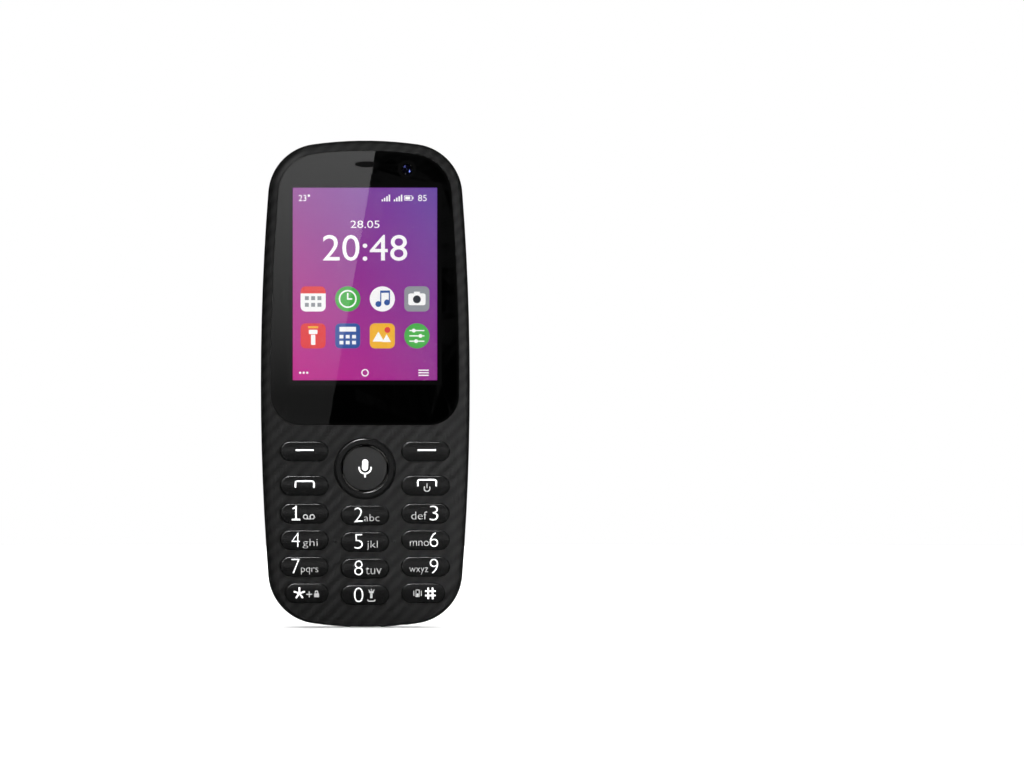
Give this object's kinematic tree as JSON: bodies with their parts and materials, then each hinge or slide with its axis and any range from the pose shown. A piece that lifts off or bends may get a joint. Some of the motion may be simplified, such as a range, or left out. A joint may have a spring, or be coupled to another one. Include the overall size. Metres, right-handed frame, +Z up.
{
  "type": "feature phone",
  "caption": "Candy-bar feature phone with a colour display, pill-shaped keys, a navigation ring and a removable rear cover.",
  "frame": {"origin": "under the middle of the lower end, half way through the thickness over the keys", "axes": "+Z up to the earpiece end, +Y from the front face to the back, +X to the right seen from the front"},
  "size_m": [0.0534, 0.0148, 0.1239],
  "materials": {
    "housing": "fine twill texture, smooth edge band",
    "window": "clear with a black printed border",
    "keycap": "satin black with white print",
    "nav_ring_finish": "satin",
    "pad_plastic": "natural",
    "silicone": "matt",
    "dome_film": "stamped domes under clear film",
    "led_body": "phosphor",
    "tape": "double-sided tape",
    "display_panel": "polariser over glass",
    "flex_film": "polyimide",
    "connector_plastic": "moulded",
    "mesh_steel": "woven, blackened",
    "receiver_metal": "satin",
    "camera_black": "satin",
    "circuit_board": "solder mask over glass epoxy",
    "shield_tin": "tinned",
    "chip_epoxy": "moulded epoxy",
    "socket_metal": "stamped",
    "usb_steel": "tin plated, gold contacts",
    "jack_plastic": "moulded",
    "chassis_plastic": "moulded",
    "screw_steel": "zinc, black",
    "battery_wrap": "cell can under a plain grey wrap",
    "motor_steel": "drawn can",
    "tungsten": "sintered",
    "speaker_plastic": "moulded frame",
    "bezel_plastic": "satin black",
    "camera_glass": "gloss with black print",
    "ring_chrome": "polished",
    "flash_phosphor": "yellow lens"
  },
  "bodies": {
    "phone_body": {"front_housing": "housing", "display_window": "window", "keypad_mat": "silicone", "speaker_gasket": "silicone", "dome_sheet": "dome_film", "keypad_leds": "led_body", "flash_led": "led_body", "window_adhesive": "tape", "display_module": "display_panel", "display_flex": "flex_film", "antenna_flex": "flex_film", "display_connector": "connector_plastic", "battery_contacts": "connector_plastic", "antenna_carrier": "connector_plastic", "earpiece_mesh": "mesh_steel", "earpiece_receiver": "receiver_metal", "bottom_microphone": "receiver_metal", "top_microphone": "receiver_metal", "front_camera": "camera_black", "rear_camera": "camera_black", "main_board": "circuit_board", "shield_cans": "shield_tin", "board_chips": "chip_epoxy", "sim_socket_left": "socket_metal", "sim_socket_right": "socket_metal", "memory_card_socket": "socket_metal", "usb_connector": "usb_steel", "headphone_jack": "jack_plastic", "chassis": "chassis_plastic", "chassis_screws": "screw_steel", "vibration_motor": "motor_steel", "loudspeaker": "speaker_plastic"},
    "ok_key": {"ok_key": "keycap"},
    "nav_rocker": {"nav_ring_pad": "pad_plastic"},
    "nav_ring": {"nav_ring": "nav_ring_finish"},
    "rear_cover": {"rear_cover": "housing", "camera_bezel": "bezel_plastic", "camera_window": "camera_glass", "camera_ring": "ring_chrome", "flash_lens": "flash_phosphor", "speaker_mesh": "mesh_steel"},
    "battery": {"battery": "battery_wrap"},
    "vibration_weight": {"vibration_weight": "tungsten"},
    "left_soft_key": {"left_soft_key": "keycap"},
    "right_soft_key": {"right_soft_key": "keycap"},
    "call_key": {"call_key": "keycap"},
    "end_key": {"end_key": "keycap"},
    "key_1": {"key_1": "keycap"},
    "key_2": {"key_2": "keycap"},
    "key_3": {"key_3": "keycap"},
    "key_4": {"key_4": "keycap"},
    "key_5": {"key_5": "keycap"},
    "key_6": {"key_6": "keycap"},
    "key_7": {"key_7": "keycap"},
    "key_8": {"key_8": "keycap"},
    "key_9": {"key_9": "keycap"},
    "key_star": {"key_star": "keycap"},
    "key_0": {"key_0": "keycap"},
    "key_hash": {"key_hash": "keycap"}
  },
  "joints": [
    {"name": "left_soft_key_press", "type": "slide", "parent": "phone_body", "child": "left_soft_key", "axis": [0, 1, 0], "range_m": [0, 0.0003], "stiffness_N_per_m": 1000, "springref_m": -0.0006},
    {"name": "right_soft_key_press", "type": "slide", "parent": "phone_body", "child": "right_soft_key", "axis": [0, 1, 0], "range_m": [0, 0.0003], "stiffness_N_per_m": 1000, "springref_m": -0.0006},
    {"name": "call_key_press", "type": "slide", "parent": "phone_body", "child": "call_key", "axis": [0, 1, 0], "range_m": [0, 0.0003], "stiffness_N_per_m": 1000, "springref_m": -0.0006},
    {"name": "end_key_press", "type": "slide", "parent": "phone_body", "child": "end_key", "axis": [0, 1, 0], "range_m": [0, 0.0003], "stiffness_N_per_m": 1000, "springref_m": -0.0006},
    {"name": "key_1_press", "type": "slide", "parent": "phone_body", "child": "key_1", "axis": [0, 1, 0], "range_m": [0, 0.0003], "stiffness_N_per_m": 1000, "springref_m": -0.0006},
    {"name": "key_2_press", "type": "slide", "parent": "phone_body", "child": "key_2", "axis": [0, 1, 0], "range_m": [0, 0.0003], "stiffness_N_per_m": 1000, "springref_m": -0.0006},
    {"name": "key_3_press", "type": "slide", "parent": "phone_body", "child": "key_3", "axis": [0, 1, 0], "range_m": [0, 0.0003], "stiffness_N_per_m": 1000, "springref_m": -0.0006},
    {"name": "key_4_press", "type": "slide", "parent": "phone_body", "child": "key_4", "axis": [0, 1, 0], "range_m": [0, 0.0003], "stiffness_N_per_m": 1000, "springref_m": -0.0006},
    {"name": "key_5_press", "type": "slide", "parent": "phone_body", "child": "key_5", "axis": [0, 1, 0], "range_m": [0, 0.0003], "stiffness_N_per_m": 1000, "springref_m": -0.0006},
    {"name": "key_6_press", "type": "slide", "parent": "phone_body", "child": "key_6", "axis": [0, 1, 0], "range_m": [0, 0.0003], "stiffness_N_per_m": 1000, "springref_m": -0.0006},
    {"name": "key_7_press", "type": "slide", "parent": "phone_body", "child": "key_7", "axis": [0, 1, 0], "range_m": [0, 0.0003], "stiffness_N_per_m": 1000, "springref_m": -0.0006},
    {"name": "key_8_press", "type": "slide", "parent": "phone_body", "child": "key_8", "axis": [0, 1, 0], "range_m": [0, 0.0003], "stiffness_N_per_m": 1000, "springref_m": -0.0006},
    {"name": "key_9_press", "type": "slide", "parent": "phone_body", "child": "key_9", "axis": [0, 1, 0], "range_m": [0, 0.0003], "stiffness_N_per_m": 1000, "springref_m": -0.0006},
    {"name": "key_star_press", "type": "slide", "parent": "phone_body", "child": "key_star", "axis": [0, 1, 0], "range_m": [0, 0.0003], "stiffness_N_per_m": 1000, "springref_m": -0.0006},
    {"name": "key_0_press", "type": "slide", "parent": "phone_body", "child": "key_0", "axis": [0, 1, 0], "range_m": [0, 0.0003], "stiffness_N_per_m": 1000, "springref_m": -0.0006},
    {"name": "key_hash_press", "type": "slide", "parent": "phone_body", "child": "key_hash", "axis": [0, 1, 0], "range_m": [0, 0.0003], "stiffness_N_per_m": 1000, "springref_m": -0.0006},
    {"name": "ok_key_press", "type": "slide", "parent": "phone_body", "child": "ok_key", "axis": [0, 1, 0], "range_m": [0, 0.0003], "stiffness_N_per_m": 1000, "springref_m": -0.0006},
    {"name": "nav_up_down", "type": "hinge", "parent": "phone_body", "child": "nav_rocker", "pos_m": [0, -0.00325, 0.04045], "axis": [1, 0, 0], "range_deg": [-2, 2], "stiffness_Nm_per_rad": 0.03},
    {"name": "nav_left_right", "type": "hinge", "parent": "nav_rocker", "child": "nav_ring", "pos_m": [0, -0.00455, 0.04045], "axis": [0, 0, 1], "range_deg": [-2, 2], "stiffness_Nm_per_rad": 0.03},
    {"name": "rear_cover_removal", "type": "slide", "parent": "phone_body", "child": "rear_cover", "axis": [0, 1, 0], "range_m": [0, 0.03]},
    {"name": "battery_removal", "type": "slide", "parent": "phone_body", "child": "battery", "axis": [0, 1, 0], "range_m": [0, 0.015]},
    {"name": "vibration_weight_spin", "type": "hinge", "parent": "phone_body", "child": "vibration_weight", "pos_m": [-0.009, 0.00265, 0.0105], "axis": [1, 0, 0], "continuous": true}
  ],
  "couplings": [
    {"joint": "battery_removal", "follows": "rear_cover_removal", "ratio": 0.5}
  ]
}
